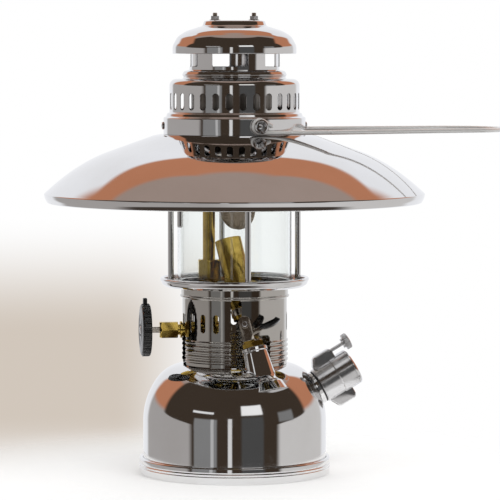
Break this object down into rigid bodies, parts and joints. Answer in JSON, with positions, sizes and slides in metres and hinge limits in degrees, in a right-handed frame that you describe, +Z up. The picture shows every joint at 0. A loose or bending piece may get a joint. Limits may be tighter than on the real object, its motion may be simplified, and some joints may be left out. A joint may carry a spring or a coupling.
{
  "type": "kerosene pressure lantern",
  "caption": "Pressure lantern with a chromed domed fuel tank, pressure gauge cap, side handwheel, quick preheater, glass and mantle, slotted hood, wide reflector shade and wire bail.",
  "frame": {"origin": "centre of the base ring on the surface it stands on", "axes": "+Z up along the tank axis; -Y is the front with the preheater lever, -X the handwheel side, +X the filler cap side"},
  "size_m": [0.4133, 0.337, 0.4086],
  "materials": {
    "chrome": "polished chromium plate",
    "brass": "turned brass, a little tarnished",
    "steel": "plain sheet and rod steel",
    "black_grip": "black moulded plastic",
    "black_rubber": "oil-proof black rubber and graphited packing",
    "leather": "oiled leather",
    "clear_glass": "clear heat-proof glass",
    "white_ceramic": "unglazed off-white ceramic",
    "mantle_silk": "fine knitted silk, pinkish brown",
    "dial_white": "satin white enamel",
    "pointer_black": "matt black enamel"
  },
  "bodies": {
    "lantern": {"base_ring": "chrome", "tank_bottom": "chrome", "tank_shell": "chrome", "tank_neck": "brass", "filler_neck": "chrome", "pump_barrel": "brass", "pump_valve": "brass", "pump_cap": "chrome", "dip_tube": "brass", "valve_body": "brass", "gland_packing": "black_rubber", "gland_nut": "brass", "vaporizer_nut": "brass", "vaporizer": "brass", "jet": "brass", "preheater_bushing": "chrome", "preheater_nut": "brass", "preheater_body": "brass", "preheater_bracket": "steel", "flame_tube": "brass", "collar": "chrome", "cage_ring": "chrome", "cage_posts": "chrome", "cage_top_ring": "chrome", "glass": "clear_glass", "inner_casing": "steel", "mixing_tube": "steel", "gas_chamber": "brass", "ceramic_nozzle": "white_ceramic", "mantle": "mantle_silk", "reflector": "chrome", "locating_pin": "chrome", "hood": "chrome", "chimney": "chrome", "cap_bridge": "steel", "hood_cap": "chrome", "cap_nuts": "chrome", "bail_studs": "chrome", "hood_screws": "chrome"},
    "control": {"spindle": "steel", "handwheel": "black_grip", "wheel_screw": "chrome"},
    "needle": {"needle_rod": "steel"},
    "plunger": {"pump_rod": "steel", "pump_knob": "chrome", "pump_cup": "leather", "pump_spring": "steel"},
    "lever": {"lever_spindle": "steel", "preheater_lever": "steel", "lever_tip": "black_grip"},
    "preheater_valve": {"preheater_rod": "steel"},
    "filler_seal": {"filler_gasket": "black_rubber"},
    "filler_lid": {"filler_cap": "chrome", "gauge_bourdon": "brass", "gauge_dial": "dial_white", "gauge_glass": "clear_glass", "gauge_bezel": "chrome"},
    "gauge_hand": {"gauge_pointer": "pointer_black"},
    "vent": {"vent_screw": "chrome"},
    "handle": {"bail": "chrome"}
  },
  "joints": [
    {"name": "handwheel_turn", "type": "hinge", "parent": "lantern", "child": "control", "pos_m": [-0.0793, -0.01058, 0.1282], "axis": [-0.9912, -0.1323, 0], "range_deg": [0, 180]},
    {"name": "needle_lift", "type": "slide", "parent": "lantern", "child": "needle", "axis": [0, 0, 1], "range_m": [-0.0032, 0]},
    {"name": "pump_stroke", "type": "slide", "parent": "lantern", "child": "plunger", "axis": [0, 0.7071, 0.7071], "range_m": [0, 0.056]},
    {"name": "lever_lift", "type": "hinge", "parent": "lantern", "child": "lever", "pos_m": [0.00948, -0.04286, 0.13541], "axis": [-0.0569, -0.9707, 0.2334], "range_deg": [0, 30]},
    {"name": "preheater_valve_lift", "type": "slide", "parent": "lantern", "child": "preheater_valve", "axis": [-0.2299, 0.2402, 0.9431], "range_m": [0, 0.00125]},
    {"name": "filler_cap_lift", "type": "slide", "parent": "lantern", "child": "filler_seal", "axis": [0.851, 0.1608, 0.5], "range_m": [0, 0.009]},
    {"name": "filler_cap_turn", "type": "hinge", "parent": "filler_seal", "child": "filler_lid", "pos_m": [0.07586, 0.01433, 0.0756], "axis": [0.851, 0.1608, 0.5], "range_deg": [0, 2160]},
    {"name": "gauge_hand_turn", "type": "hinge", "parent": "filler_lid", "child": "gauge_hand", "pos_m": [0.10054, 0.019, 0.0901], "axis": [-0.851, -0.1608, -0.5], "range_deg": [0, 270], "stiffness_Nm_per_rad": 0.00002},
    {"name": "vent_screw_turn", "type": "hinge", "parent": "filler_lid", "child": "vent", "pos_m": [0.09899, 0.0187, 0.11483], "axis": [0.851, 0.1608, 0.5], "range_deg": [0, 720]},
    {"name": "bail_swing", "type": "hinge", "parent": "lantern", "child": "handle", "pos_m": [0, 0, 0.3095], "axis": [0.3387, -0.9409, 0], "range_deg": [0, 180]}
  ],
  "couplings": [
    {"joint": "handwheel_turn", "follows": "needle_lift", "rad_per_m": -981.75},
    {"joint": "lever_lift", "follows": "preheater_valve_lift", "rad_per_m": 418.88},
    {"joint": "filler_cap_turn", "follows": "filler_cap_lift", "rad_per_m": 4188.8}
  ]
}
